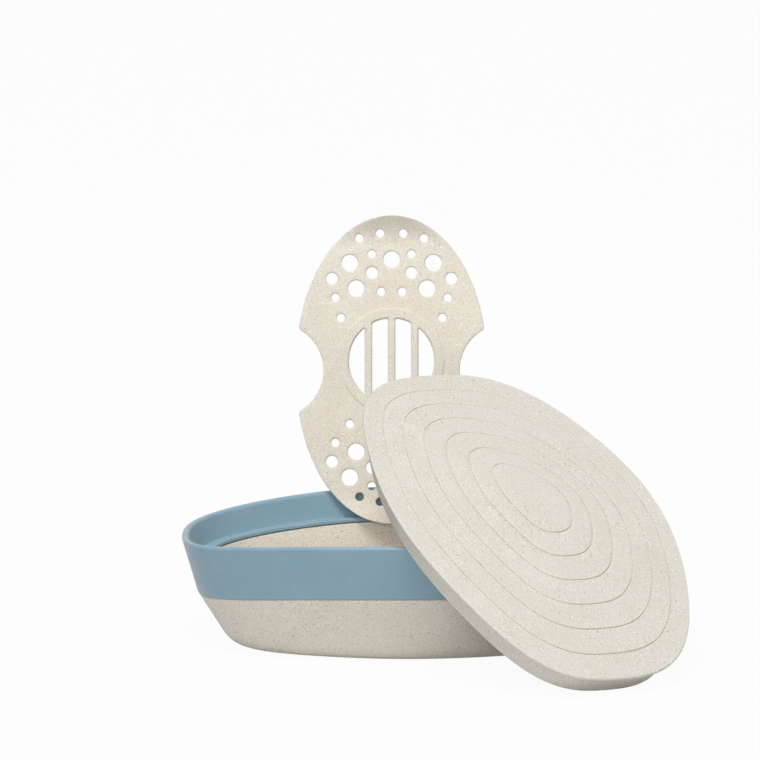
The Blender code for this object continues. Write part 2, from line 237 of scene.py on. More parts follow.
def rounded(before: np.ndarray, station: Station, after: np.ndarray) -> np.ndarray:
    """Rings that round a profile's corner at a station.

    Formula: for each point, a curve from the run before to the run after, weighted towards the
    corner. With the weight sin(half the corner's angle) it is a circle's arc, and with the weight
    1 it is a parabola.

    Args:
        before: Ring before the corner.
        station: The corner.
        after: Ring after it.

    Returns:
        Array of rings, points and axes.
    """
    back = before - station.ring
    ahead = after - station.ring
    back_length = np.linalg.norm(back, axis=1, keepdims=True)
    ahead_length = np.linalg.norm(ahead, axis=1, keepdims=True)
    reach = np.minimum(station.reach, LARGEST_ROUND * np.minimum(back_length, ahead_length))
    start = station.ring + back / back_length * reach
    end = station.ring + ahead / ahead_length * reach
    weight = np.ones_like(reach)
    if station.corner is Corner.ARC:
        cosine = np.sum(back * ahead, axis=1, keepdims=True) / (back_length * ahead_length)
        weight = np.sqrt(np.clip((1 - cosine) / 2, LEAST_WEIGHT, 1.0))
    share = np.linspace(0.0, 1.0, station.steps + 1)[:, None, None]
    middle = 2 * share * (1 - share) * weight
    total = (1 - share) ** 2 + middle + share**2
    return ((1 - share) ** 2 * start + middle * station.ring + share**2 * end) / total


def swept(stations: list[Station], spacing: float, closed: bool = False) -> np.ndarray:
    """Carries a profile round the case through its stations.

    Formula: corners become arcs, and longer runs get rings between them at equal shares of the way.

    Args:
        stations: Rings of the profile in order.
        spacing: Longest run that is left without a ring in it.
        closed: Whether the last station joins the first.

    Returns:
        Array of rings, points and axes.
    """
    count = len(stations)
    blocks = []
    for index, station in enumerate(stations):
        inner = closed or 0 < index < count - 1
        if station.reach > 0 and inner:
            before = stations[index - 1].ring
            after = stations[(index + 1) % count].ring
            blocks.append(rounded(before, station, after))
        else:
            blocks.append(station.ring[None])
    pieces = []
    for index, block in enumerate(blocks):
        pieces.append(block)
        if index + 1 < count or closed:
            start, end = block[-1], blocks[(index + 1) % count][0]
            run = float(np.linalg.norm(end - start, axis=1).max())
            extra = math.ceil(run / spacing) - 1
            share = (np.arange(extra) + 1.0)[:, None, None] / (extra + 1)
            pieces.append(start * (1 - share) + end * share)
    return np.concatenate(pieces)


def closing_rings(ring: np.ndarray, middle: np.ndarray, shares: tuple[float, ...]) -> list[Station]:
    """Rings between a ring and its middle: the ring drawn towards the middle by equal parts.

    Args:
        ring: The outer ring.
        middle: The point that they draw in to.
        shares: Size of each ring as a share of the outer one.

    Returns:
        Stations in the order of the shares.
    """
    return [Station(middle + (ring - middle) * share) for share in shares]


def add_mesh(name: str, points: np.ndarray, faces: list[list[int]]) -> bpy.types.Object:
    """Makes a smooth object with sharp edges kept and its broad faces leading the shading.

    Args:
        name: Name of the piece.
        points: Vertices, one row each.
        faces: Vertex numbers of each face.

    Returns:
        The object, at the origin, with its place in its mesh.
    """
    mesh = bpy.data.meshes.new(name)
    mesh.from_pydata(points.tolist(), [], faces)
    work = bmesh.new()
    work.from_mesh(mesh)
    bmesh.ops.remove_doubles(work, verts=work.verts, dist=MERGE_DISTANCE)
    bmesh.ops.recalc_face_normals(work, faces=work.faces)
    if work.calc_volume(signed=True) < 0:
        bmesh.ops.reverse_faces(work, faces=work.faces)
    work.to_mesh(mesh)
    work.free()
    mesh.shade_smooth()
    mesh.set_sharp_from_angle(angle=SHARP_ANGLE)
    piece = bpy.data.objects.new(name, mesh)
    bpy.context.scene.collection.objects.link(piece)
    weighted = piece.modifiers.new("broad_faces_lead", "WEIGHTED_NORMAL")
    weighted.keep_sharp = True
    return piece


def quads_between(low: np.ndarray, high: np.ndarray) -> list[list[int]]:
    """Faces between rings: each joins two neighbours of a ring to the same two of the next.

    Args:
        low: Vertex numbers of the rings, one row each.
        high: Vertex numbers of the rings that they are joined to.

    Returns:
        Vertex numbers of each face.
    """
    corners = (low, np.roll(low, -1, axis=1), np.roll(high, -1, axis=1), high)
    return np.stack(corners, axis=-1).reshape(-1, 4).tolist()


def shell_faces(rings: int, count: int, closed: bool) -> list[list[int]]:
    """Faces of a lofted shell: quads between its rings, and a fan over each open end.

    Args:
        rings: Number of rings.
        count: Points in a ring.
        closed: Whether the last ring joins the first.

    Returns:
        Vertex numbers of each face. The middles of the fans follow the last ring.
    """
    index = np.arange(rings * count).reshape(rings, count)
    low = index if closed else index[:-1]
    high = np.roll(index, -1, axis=0) if closed else index[1:]
    faces = quads_between(low, high)
    if not closed:
        for ring, middle in ((index[0], rings * count), (index[-1], rings * count + 1)):
            fan = np.stack((ring, np.roll(ring, -1), np.full(count, middle)), axis=-1)
            faces.extend(fan.tolist())
    return faces


def add_shell(name: str, sheet: np.ndarray, closed: bool = False) -> bpy.types.Object:
    """Makes an object of a lofted sheet.

    Args:
        name: Name of the piece.
        sheet: Array of rings, points and axes.
        closed: Whether the last ring joins the first.

    Returns:
        The object.
    """
    points = sheet.reshape(-1, 3)
    if not closed:
        points = np.concatenate((points, sheet[[0, -1]].mean(axis=1)))
    return add_mesh(name, points, shell_faces(*sheet.shape[:2], closed))


def set_in_place(points: np.ndarray, turn: Matrix, node: str) -> np.ndarray:
    """Turns points and moves them so that their box has the same middle as a node's.

    Args:
        points: Array whose last axis holds x, y and z.
        turn: Rotation.
        node: The node that the piece stands for.

    Returns:
        The moved points, in the same layout.
    """
    turned = points @ np.array(turn.to_3x3()).T
    flat = turned.reshape(-1, 3)
    low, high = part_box(node)
    middle = (np.array(low) + np.array(high)) / 2
    return turned + middle - (flat.min(axis=0) + flat.max(axis=0)) / 2


@dataclass(frozen=True)
class SpeckSort:
    """A sort of speck.

    Attributes:
        scale: Cells in a metre, each of which may hold a speck.
        size: Radius of a speck as a share of a cell.
        squash: How much longer than wide the specks are.
    """

    scale: float
    size: float
    squash: float = 1.0


class NodeSheet:
    """A material's node tree, written from its shader back to its textures."""

    def __init__(self, name: str) -> None:
        """Starts a material with a plain shader."""
        self.material = bpy.data.materials.new(name)
        self.material.use_nodes = True
        self.tree = self.material.node_tree
        self.shader = self.tree.nodes["Principled BSDF"]
        self.place = self.tree.nodes.new("ShaderNodeTexCoord").outputs["Object"]

    def add(self, kind: str, **settings: object) -> bpy.types.Node:
        """Adds a node.

        Args:
            kind: Node type without its prefix.
            **settings: Attributes to set on it.

        Returns:
            The node.
        """
        node = self.tree.nodes.new("ShaderNode" + kind)
        for key, value in settings.items():
            setattr(node, key, value)
        return node

    def feed(self, socket: bpy.types.NodeSocket, source: object) -> None:
        """Links a source to a socket, or sets the socket to a plain value.

        Args:
            socket: Socket to feed.
            source: Another node's socket, or a value.
        """
        if isinstance(source, bpy.types.NodeSocket):
            self.tree.links.new(source, socket)
        else:
            socket.default_value = source

    def noise(self, scale: float, detail: float = 2.0, rough: float = 0.5) -> bpy.types.NodeSocket:
        """Noise over the piece.

        Args:
            scale: Waves in a metre.
            detail: Octaves over the first.
            rough: How strong the finer octaves are.

        Returns:
            Its value, about 0.5 in the mean.
        """
        node = self.add("TexNoise")
        self.feed(node.inputs["Vector"], self.place)
        self.feed(node.inputs["Scale"], scale)
        self.feed(node.inputs["Detail"], detail)
        self.feed(node.inputs["Roughness"], rough)
        return node.outputs["Fac"]

    def stretch(
        self,
        source: bpy.types.NodeSocket,
        low: float,
        high: float,
        start: float = 0.0,
        end: float = 1.0,
    ) -> bpy.types.NodeSocket:
        """Spreads a range of values smoothly over another.

        Args:
            source: Value to spread.
            low: Value that becomes the start.
            high: Value that becomes the end.
            start: Result at the low value.
            end: Result at the high value.

        Returns:
            The spread value.
        """
        node = self.add("MapRange", interpolation_type="SMOOTHSTEP")
        for key, value in zip(
            ("Value", "From Min", "From Max", "To Min", "To Max"), (source, low, high, start, end)
        ):
            self.feed(node.inputs[key], value)
        return node.outputs["Result"]

    def math(self, operation: str, first: object, second: object) -> bpy.types.NodeSocket:
        """A sum, product or the like of two values.

        Args:
            operation: Which of them.
            first: First value.
            second: Second value.

        Returns:
            The result.
        """
        node = self.add("Math", operation=operation)
        self.feed(node.inputs[0], first)
        self.feed(node.inputs[1], second)
        return node.outputs[0]

    def mix(
        self, share: object, first: object, second: object, blend: str = "MIX"
    ) -> bpy.types.NodeSocket:
        """Mixes two colours.

        Args:
            share: How much of the second colour shows.
            first: Colour under it.
            second: Colour over it.
            blend: Way of mixing.

        Returns:
            The mixed colour.
        """
        # For colours the node's share is socket 0, its colours are 6 and 7, and its result is 2.
        node = self.add("Mix", data_type="RGBA", blend_type=blend)
        self.feed(node.inputs[0], share)
        self.feed(node.inputs[6], first)
        self.feed(node.inputs[7], second)
        return node.outputs[2]

    def specks(self, sort: SpeckSort, share: float) -> bpy.types.NodeSocket:
        """Specks of uneven size, scattered over the piece.

        Formula: space is cut into cells round random points. A cell holds a speck when its random
        number is under the share, and the speck covers what is nearer to the cell's point than its
        size, ragged by noise.

        Args:
            sort: Scale, size and length of the specks.
            share: Share of the cells that hold a speck.

        Returns:
            1 on a speck and 0 beside it.
        """
        vector = self.place
        if sort.squash != 1.0:
            mapping = self.add("Mapping")
            self.feed(mapping.inputs["Vector"], self.place)
            mapping.inputs["Rotation"].default_value = LONG_SPECK_TURN
            mapping.inputs["Scale"].default_value = (1.0, 1.0 / sort.squash, 1.0)
            vector = mapping.outputs["Vector"]
        cells = self.add("TexVoronoi")
        self.feed(cells.inputs["Vector"], vector)
        self.feed(cells.inputs["Scale"], sort.scale)
        number = self.add("SeparateColor")
        self.feed(number.inputs[0], cells.outputs["Color"])
        chosen = self.math("LESS_THAN", number.outputs[0], share)
        rag = self.noise(sort.scale * RAG_SCALE, detail=1.0)
        ragged = self.math("MULTIPLY", rag, sort.size * RAG_SHARE)
        own = self.math("MULTIPLY", number.outputs[1], sort.size * UNEVEN_SHARE)
        reach = self.math("ADD", own, ragged)
        inside = self.math("SUBTRACT", reach, cells.outputs["Distance"])
        return self.math("MULTIPLY", chosen, self.stretch(inside, *SPECK_FADE))

    def bump(self, height: bpy.types.NodeSocket, distance: float, strength: float) -> None:
        """Dents the surface.

        Args:
            height: Value that raises it.
            distance: Rise in metres where the value is 1.
            strength: How much of the dent shows.
        """
        node = self.add("Bump")
        self.feed(node.inputs["Height"], height)
        self.feed(node.inputs["Distance"], distance)
        self.feed(node.inputs["Strength"], strength)
        self.tree.links.new(node.outputs["Normal"], self.shader.inputs["Normal"])


@dataclass(frozen=True)
class StrawFinish:
    """Moulded plant-fibre composite: a matt, warm ground with brown, dark and pale flecks in it.

    Attributes:
        ground: Colour of most of the surface.
        cloud: Colour of its wide, faint clouds.
        fleck: Colour of the dark flecks.
        pale: Colour of the pale flecks.
        flecks: Share of the cells that hold a fleck.
        strength: How much of a dark fleck shows.
        patchy: How much of the flecks shows where they are faintest.
        mottle: How far the finest mottling lightens and darkens.
        brown_share: How many large brown flecks there are for each small one.
        brown_tone: Tone of the large flecks as a share of the small ones'.
        brown_dent: How deep the large flecks lie as a share of the grain.
        roughness: Mean roughness.
        rough_spread: How far the roughness strays from it.
        grain: Height of the fine tooth in metres.
        tooth: How much of the grain shows.
    """

    ground: tuple[float, float, float]
    cloud: tuple[float, float, float]
    fleck: tuple[float, float, float] = (0.30, 0.19, 0.10)
    pale: tuple[float, float, float] = (0.97, 0.95, 0.90)
    flecks: float = 0.30
    strength: float = 0.40
    patchy: float = 0.55
    mottle: float = 0.10
    brown_share: float = 0.2
    brown_tone: float = 0.7
    brown_dent: float = 0.5
    roughness: float = 0.62
    rough_spread: float = 0.07
    grain: float = 0.00003
    tooth: float = 0.8
    pale_specks: SpeckSort = SpeckSort(2300.0, 0.46)
    fine_specks: SpeckSort = SpeckSort(2100.0, 0.42, 1.6)
    brown_specks: SpeckSort = SpeckSort(1350.0, 0.32, 1.5)
    cloud_scale: float = 95.0
    patch_scale: float = 60.0
    mottle_scale: float = 3300.0
    rough_scale: float = 700.0
    grain_scale: float = 2600.0

    def material(self, name: str) -> bpy.types.Material:
        """Builds the material.

        Args:
            name: Name of the material.

        Returns:
            A node material on object coordinates.
        """
        sheet = NodeSheet(name)
        noise = sheet.noise(self.cloud_scale, detail=3.0, rough=0.6)
        clouds = sheet.stretch(noise, low=0.34, high=0.68)
        color = sheet.mix(clouds, (*self.ground, 1.0), (*self.cloud, 1.0))
        noise = sheet.noise(self.mottle_scale, rough=0.6)
        mottle = sheet.stretch(noise, 0.3, 0.7, start=1 - self.mottle, end=1 + self.mottle)
        color = sheet.mix(1.0, color, mottle, "MULTIPLY")
        patches = sheet.stretch(sheet.noise(self.patch_scale), 0.35, 0.65, start=self.patchy)
        pale = sheet.math("MULTIPLY", sheet.specks(self.pale_specks, self.flecks), patches)
        color = sheet.mix(pale, color, (*self.pale, 1.0))
        fine = sheet.specks(self.fine_specks, self.flecks)
        shown = sheet.math("MULTIPLY", patches, self.strength)
        color = sheet.mix(sheet.math("MULTIPLY", fine, shown), color, (*self.fleck, 1.0))
        brown = sheet.specks(self.brown_specks, self.flecks * self.brown_share)
        shade = tuple(value * self.brown_tone for value in self.fleck)
        color = sheet.mix(sheet.math("MULTIPLY", brown, self.strength), color, (*shade, 1.0))
        sheet.feed(sheet.shader.inputs["Base Color"], color)
        least, most = self.roughness - self.rough_spread, self.roughness + self.rough_spread
        rough = sheet.stretch(sheet.noise(self.rough_scale), 0.3, 0.7, start=least, end=most)
        sheet.feed(sheet.shader.inputs["Roughness"], rough)
        sheet.shader.inputs["IOR"].default_value = 1.46
        sheet.shader.inputs["Specular IOR Level"].default_value = 0.42
        tooth = sheet.noise(self.grain_scale, rough=0.6)
        height = sheet.math("ADD", tooth, sheet.math("MULTIPLY", brown, -self.brown_dent))
        sheet.bump(height, self.grain, self.tooth)
        return sheet.material


@dataclass(frozen=True)
class RubberFinish:
    """Soft moulded rubber: even and matt, a little dusty, with a fine tooth.

    Attributes:
        ground: Colour of the clean surface.
        dust: Colour of the dust on it.
        dusty: How much of the dust shows at most, in clouds.
        mote_share: Share of the cells that hold a mote of dust.
        mote_strength: How much of a mote shows.
        mottle: How far the finest mottling lightens and darkens.
        roughness: Usual roughness, from which it strays by the two values of rough_spread.
        grain: Height of the fine tooth in metres.
        tooth: How much of the grain shows.
    """

    ground: tuple[float, float, float] = (0.245, 0.385, 0.47)
    dust: tuple[float, float, float] = (0.335, 0.455, 0.54)
    dusty: float = 0.3
    mote_share: float = 0.05
    mote_strength: float = 0.35
    mottle: float = 0.03
    roughness: float = 0.41
    rough_spread: tuple[float, float] = (-0.06, 0.1)
    grain: float = 0.00002
    tooth: float = 0.7
    motes: SpeckSort = SpeckSort(900.0, 0.2)
    dust_scale: float = 130.0
    mottle_scale: float = 2600.0
    rough_scale: float = 420.0
    grain_scale: float = 2200.0

    def material(self, name: str) -> bpy.types.Material:
        """Builds the material.

        Args:
            name: Name of the material.

        Returns:
            A node material on object coordinates.
        """
        sheet = NodeSheet(name)
        noise = sheet.noise(self.dust_scale, detail=4.0, rough=0.6)
        clouds = sheet.stretch(noise, 0.4, 0.75, end=self.dusty)
        color = sheet.mix(clouds, (*self.ground, 1.0), (*self.dust, 1.0))
        motes = sheet.specks(self.motes, self.mote_share)
        motes = sheet.math("MULTIPLY", motes, self.mote_strength)
        color = sheet.mix(motes, color, (*self.dust, 1.0))
        noise = sheet.noise(self.mottle_scale, rough=0.6)
        mottle = sheet.stretch(noise, 0.3, 0.7, start=1 - self.mottle, end=1 + self.mottle)
        color = sheet.mix(1.0, color, mottle, "MULTIPLY")
        sheet.feed(sheet.shader.inputs["Base Color"], color)
        least, most = (self.roughness + stray for stray in self.rough_spread)
        noise = sheet.noise(self.rough_scale, detail=3.0)
        rough = sheet.stretch(noise, 0.3, 0.75, start=least, end=most)
        sheet.feed(sheet.shader.inputs["Roughness"], rough)
        sheet.shader.inputs["IOR"].default_value = 1.42
        sheet.shader.inputs["Sheen Weight"].default_value = 0.12
        sheet.shader.inputs["Sheen Roughness"].default_value = 0.5
        sheet.bump(sheet.noise(self.grain_scale, rough=0.6), self.grain, self.tooth)
        return sheet.material


@dataclass
class Piece:
    """What every piece of the case has: the solid that it stands for, its body and its finish."""

    name: str
    node: str
    body: str
    finish: StrawFinish | RubberFinish

    def build(self) -> bpy.types.Object:
        """Builds the piece's mesh. Each kind of piece has its own way."""
        raise NotImplementedError

    def dress(self) -> bpy.types.Object:
        """Builds the piece, gives it its finish and hands it to the frame.

        Returns:
            The finished object.
        """
        piece = self.build()
        piece.data.materials.append(self.finish.material(self.name + "_finish"))
        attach(piece, self.body)
        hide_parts(self.node)
        low, high = (np.array(corner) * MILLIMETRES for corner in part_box(self.node))
        count = len(piece.data.polygons)
        log.info("%s: %d faces, in the box %s to %s mm", self.name, count, low, high)
        return piece


@dataclass
class TrayShell(Piece):
    """The lower shell: a flat foot with a shallow recess, flared walls, a shoulder and a neck.

    The recess and the gate's mark in its middle are on the underside. The gate's rise and shares
    are parts of the recess's depth and of the mark's radius.
    """

    name: str = "tray_shell"
    node: str = "base_tray"
    body: str = "base"
    finish: StrawFinish | RubberFinish = StrawFinish(
        ground=(0.74, 0.69, 0.60), cloud=(0.77, 0.725, 0.64), strength=0.60
    )
    wall: float = 0.002
    floor: float = 0.0022
    foot_inset: float = 0.0126
    foot_corner: float = 0.0075
    floor_corner: float = 0.006
    throat_corner: float = 0.002
    edge: float = 0.0005
    neck_edge: float = 0.00015
    neck_fillet: float = 0.00015
    fillet: float = 0.0003
    recess: float = 0.0004
    recess_foot: float = 0.0026
    recess_head: float = 0.0032
    gate: float = 0.0016
    gate_rise: float = 0.4
    gate_shares: tuple[float, float] = (0.3, 1.15)
    recess_shares: tuple[float, ...] = (0.3, 0.65)
    floor_shares: tuple[float, ...] = (0.66, 0.33, 0.05)
    spacing: float = 0.0015

    def slope(self) -> float:
        """Inset of the outer wall for each metre of height below the shoulder."""
        depth = RIM.shoulder_depth
        return (self.foot_inset - RIM.outside(depth)) / (RIM.height - depth)

    def stations(self) -> list[Station]:
        """Profile from the underside's middle, up the outside and down to the floor's middle.

        Returns:
            Stations of the tray in that order.
        """
        shoulder, neck = RIM.shoulder_depth, RIM.neck_depth
        level = OUTLINE.level_ring
        floor_inset = self.foot_inset + self.wall - self.slope() * self.floor
        foot_flat = self.foot_inset + self.foot_corner
        recess = level(foot_flat + self.recess_head, self.recess)
        floor = level(floor_inset + 2 * self.floor_corner, self.floor)
        throat = rim_ring(RIM.neck(shoulder), shoulder)
        roof = np.array((0.0, 0.0, self.recess))
        floor_middle = np.array((0.0, 0.0, self.floor))
        turn = OUTLINE.turns()
        gate = np.stack((np.cos(turn), np.sin(turn), np.zeros_like(turn)), axis=1) * self.gate
        inner, outer = self.gate_shares
        return [
            Station(gate * inner + roof * self.gate_rise),
            Station(gate + roof * self.gate_rise, self.fillet),
            Station(gate * outer + roof, self.fillet),
            *closing_rings(recess, roof, self.recess_shares),
            Station(recess, self.fillet),
            Station(level(foot_flat + self.recess_foot, 0.0), self.fillet),
            Station(level(self.foot_inset, 0.0), self.foot_corner, Corner.SOFT, steps=16),
            Station(rim_ring(RIM.outside(shoulder), shoulder), self.edge),
            Station(rim_ring(RIM.inside(shoulder) + RIM.gap, shoulder), self.neck_fillet),
            Station(rim_ring(RIM.inside(neck) + RIM.gap, neck), self.neck_edge),
            Station(rim_ring(RIM.neck(neck), neck), self.neck_edge, steps=6),
            Station(throat, self.throat_corner, Corner.SOFT, steps=6),
            Station(level(floor_inset, self.floor), self.floor_corner, Corner.SOFT, steps=16),
            Station(floor),
            *closing_rings(floor, floor_middle, self.floor_shares),
        ]

    def build(self) -> bpy.types.Object:
        """Lofts the tray."""
        return add_shell(self.name, swept(self.stations(), self.spacing))


@dataclass
class BandCollar(Piece):
    """The soft band: a round crest, an inner ledge over the tray's neck and a leg down outside it.

    The squeeze is how much further than its solid the leg comes down on the tray's shoulder. The
    crest's reach is that of the rounds at both of its edges, as a share of its radius.
    """

    name: str = "band_collar"
    node: str = "sealing_band"
    body: str = "base"
    finish: StrawFinish | RubberFinish = RubberFinish()
    crest_reach: float = 1.1
    ledge_root: float = 0.00005
    bead: float = 0.00045
    ledge_under: float = 0.000075
    fillet: float = 0.00015
    edge: float = 0.0002
    squeeze: float = 0.00022
    spacing: float = 0.0012

    def stations(self) -> list[Station]:
        """Profile from the crest down the inside, round the ledge and the leg, and up outside.

        Returns:
            Stations of the band in that order.
        """
        ledge = RIM.ledge_depth
        under = ledge + RIM.ledge_thickness
        foot = RIM.band_height + self.squeeze
        reach = RIM.neck(RIM.neck_depth)
        lean = RIM.taper * RIM.crest
        crest = RIM.crest * self.crest_reach
        return [
            Station(rim_ring(-lean, 0.0), crest, steps=10),
            Station(rim_ring(RIM.band_wall - lean, 0.0), crest, steps=10),
            Station(rim_ring(RIM.inside(ledge), ledge), self.ledge_root),
            Station(rim_ring(reach, ledge), self.bead, steps=6),
            Station(rim_ring(reach, under), self.ledge_under),
            Station(rim_ring(RIM.inside(under), under), self.ledge_under),
            Station(rim_ring(RIM.inside(foot), foot), self.fillet),
            Station(rim_ring(RIM.outside(foot), foot), self.edge, steps=6),
        ]

    def build(self) -> bpy.types.Object:
        """Lofts the band into a closed ring."""
        sheet = swept(self.stations(), self.spacing, closed=True)
        return add_shell(self.name, sheet, closed=True)


@dataclass
class LidShell(Piece):
    """The lid: a thin-lipped, arched top with a relief of waved contours, and a skirt.

    Each contour is a groove, and the top rises a little past it. The shares are sizes of the
    contours and of the rings under them as parts of the outline, and the peak's shares are sizes
    of its rings as parts of the inmost contour.
    """

    name: str = "lid_shell"
    node: str = "lid"
    body: str = "lid"
    finish: StrawFinish | RubberFinish = StrawFinish(
        ground=(0.718, 0.678, 0.602), cloud=(0.744, 0.709, 0.635), flecks=0.32, strength=0.46
    )
    tilt: tuple[float, float, float] = tuple(math.radians(angle) for angle in (-2.6, 31.4, -60.2))
    top: float = 0.0003
    lip_round: float = 0.0003
    lip_depth: float = 0.0015
    lip_chamfer: float = 0.00115
    chamfer_round: float = 0.00015
    root_round: float = 0.00021
    under_round: float = 0.0003
    thickness: float = 0.002
    skirt_depth: float = 0.006
    skirt_wall: float = 0.0016
    skirt_gap: float = 0.00025
    rise: float = 0.0003
    step: float = 0.0001
    step_round: float = 0.00005
    groove: float = 0.00013
    groove_foot: float = 0.85
    groove_depth: float = 0.00024
    shares: tuple[float, ...] = (0.87, 0.74, 0.61, 0.48, 0.35, 0.22)
    under_shares: tuple[float, ...] = (0.03, 0.25, 0.5, 0.75)
    peak_shares: tuple[float, ...] = (0.6, 0.3, 0.05)
    focus: tuple[float, float] = (-0.08, 0.1)
    waves: tuple[float, float] = (0.12, 0.07)
    wave_turns: tuple[float, float] = (math.radians(40), math.radians(-25))
    spacing: float = 0.0015

    def step_ring(self, share: float, inset: float, height: float) -> np.ndarray:
        """A ring of the relief.

        Formula: the outline's ring made smaller by the share, waved by (1 - share) times a cosine
        of two turns and one of three turns, moved towards the focus by 1 - share, and let down by
        the arch.

        Args:
            share: Size of the ring as a share of the outline.
            inset: How far it is set in besides.
            height: Its height in the middle.

        Returns:
            Points, one row each.
        """
        turn = OUTLINE.turns()
        double, triple = self.waves
        first, second = self.wave_turns
        wave = double * np.cos(2 * (turn - first)) + triple * np.cos(3 * (turn - second))
        reach = OUTLINE.reach(turn) * (1 + (1 - share) * wave)
        along, across = self.focus
        half_length, half_width = OUTLINE.half_length, OUTLINE.half_width
        x = (half_length * share - inset) * reach * np.cos(turn) + half_length * along * (1 - share)
        y = (half_width * share - inset) * reach * np.sin(turn) + half_width * across * (1 - share)
        return np.stack((x, y, height - OUTLINE.drop(x)), axis=1)

    def underside(self, share: float) -> float:
        """Height of the underside, which bulges up in the middle as the relief does."""
        return self.top - self.thickness + self.rise * len(self.shares) * (1 - share**2)

    def stations(self) -> list[Station]:
        """Profile from the underside's middle out over the skirt and up round the lip.

        Returns:
            Stations of the lid up to the top's edge, in that order.
        """
        bottom = -self.lip_depth - self.skirt_depth
        outside = RIM.inside(self.skirt_depth) + self.skirt_gap
        upper = RIM.inside(0.0) + self.skirt_gap
        ring = OUTLINE.arched_ring
        under = [self.step_ring(share, 0.0, self.underside(share)) for share in self.under_shares]
        ceiling = ring(upper + self.skirt_wall, self.top - self.thickness)
        return [
            *(Station(points) for points in under),
            Station(ceiling, self.lip_depth, Corner.SOFT, steps=8),
            Station(ring(outside + self.skirt_wall, bottom), self.under_round),
            Station(ring(outside, bottom), self.under_round),
            Station(ring(upper, -self.lip_depth), self.root_round),
            Station(ring(self.lip_chamfer, -self.lip_depth), self.chamfer_round),
            Station(ring(0.0, self.lip_chamfer - self.lip_depth), self.chamfer_round),
            Station(ring(0.0, self.top), self.lip_round, steps=6),
        ]

    def relief(self) -> list[Station]:
        """Profile over the contours, from the widest one to the top's middle.

        Returns:
            Stations of the relief in that order.
        """
        stations = []
        wide, narrow = self.groove, self.groove * self.groove_foot
        for index, share in enumerate(self.shares):
            height = self.top + self.rise * index
            foot = height - self.groove_depth
            past = height + self.step
            stations += [
                Station(self.step_ring(share, -wide, height), self.step_round, steps=2),
                Station(self.step_ring(share, -narrow, foot)),
                Station(self.step_ring(share, narrow, foot)),
                Station(self.step_ring(share, wide, past), self.step_round, steps=2),
            ]
        peak = self.top + self.rise * len(self.shares)
        inmost = self.shares[-1]
        for share in self.peak_shares:
            stations.append(Station(self.step_ring(inmost * share, 0.0, peak)))
        return stations

    def build(self) -> bpy.types.Object:
        """Lofts the lid and leans it on the rim.

        Returns:
            The lid.
        """
        sheet = swept(self.stations() + self.relief(), self.spacing)
        turn = Euler(self.tilt).to_matrix()
        return add_shell(self.name, set_in_place(sheet, turn, self.node))


def circle(middle: tuple[float, float], radius: float, count: int) -> np.ndarray:
    """A circle's points, counter-clockwise: middle + radius * (cos, sin) of equal turns."""
    turn = np.arange(count) * (math.tau / count)
    return np.stack((middle[0] + radius * np.cos(turn), middle[1] + radius * np.sin(turn)), axis=1)


def moved_out(loop: np.ndarray, distance: float) -> np.ndarray:
    """Moves a counter-clockwise loop outwards.

    Formula: each point moves along the normal of the chord between its two neighbours.

    Args:
        loop: Points of the loop.
        distance: How far out, or in where it is negative.

    Returns:
        The moved loop.
    """
    chord = np.roll(loop, -1, axis=0) - np.roll(loop, 1, axis=0)
    normal = np.stack((chord[:, 1], -chord[:, 0]), axis=1)
    return loop + distance * normal / np.linalg.norm(normal, axis=1, keepdims=True)


def within(points: np.ndarray, loop: np.ndarray) -> np.ndarray:
    """Tells which points lie inside a loop.

    Formula: a point is inside when a line from it to the right crosses the loop an odd number of
    times.

    Args:
        points: Points to test.
        loop: The loop.

    Returns:
        True or False for each point.
    """
    start, end = loop, np.roll(loop, -1, axis=0)
    x, y = points[:, :1], points[:, 1:]
    spans = (start[:, 1] > y) != (end[:, 1] > y)
    rise = end[:, 1] - start[:, 1]
    rise = np.where(np.abs(rise) < LEAST_RISE, LEAST_RISE, rise)
    crossing = start[:, 0] + (y - start[:, 1]) / rise * (end[:, 0] - start[:, 0])
    return np.count_nonzero(spans & (x < crossing), axis=1) % 2 == 1


def even_loop(points: np.ndarray, spacing: float) -> np.ndarray:
    """Spreads points evenly along a closed loop, by linear steps of its length.

    Args:
        points: Points of the loop.
        spacing: Distance between the new points.

    Returns:
        The new points.
    """
    closed = np.concatenate((points, points[:1]))
    length = np.concatenate(((0.0,), np.cumsum(np.linalg.norm(np.diff(closed, axis=0), axis=1))))
    count = max(round(length[-1] / spacing), FEWEST_POINTS)
    at = np.arange(count) * (length[-1] / count)
    x, y = (np.interp(at, length, closed[:, axis]) for axis in (0, 1))
    return np.stack((x, y), axis=1)


def softened(loop: np.ndarray, spacing: float, rounds: int) -> np.ndarray:
    """Softens a loop's corners.

    Formula: the loop is spread evenly, then each point becomes the mean of itself, twice, and its
    neighbours, as many times as asked.

    Args:
        loop: Points of the loop.
        spacing: Distance between the new points.
        rounds: How often the mean is taken.

    Returns:
        The softened loop.
    """
    even = even_loop(loop, spacing)
    for _ in range(rounds):
        even = (2 * even + np.roll(even, 1, axis=0) + np.roll(even, -1, axis=0)) / 4
    return even


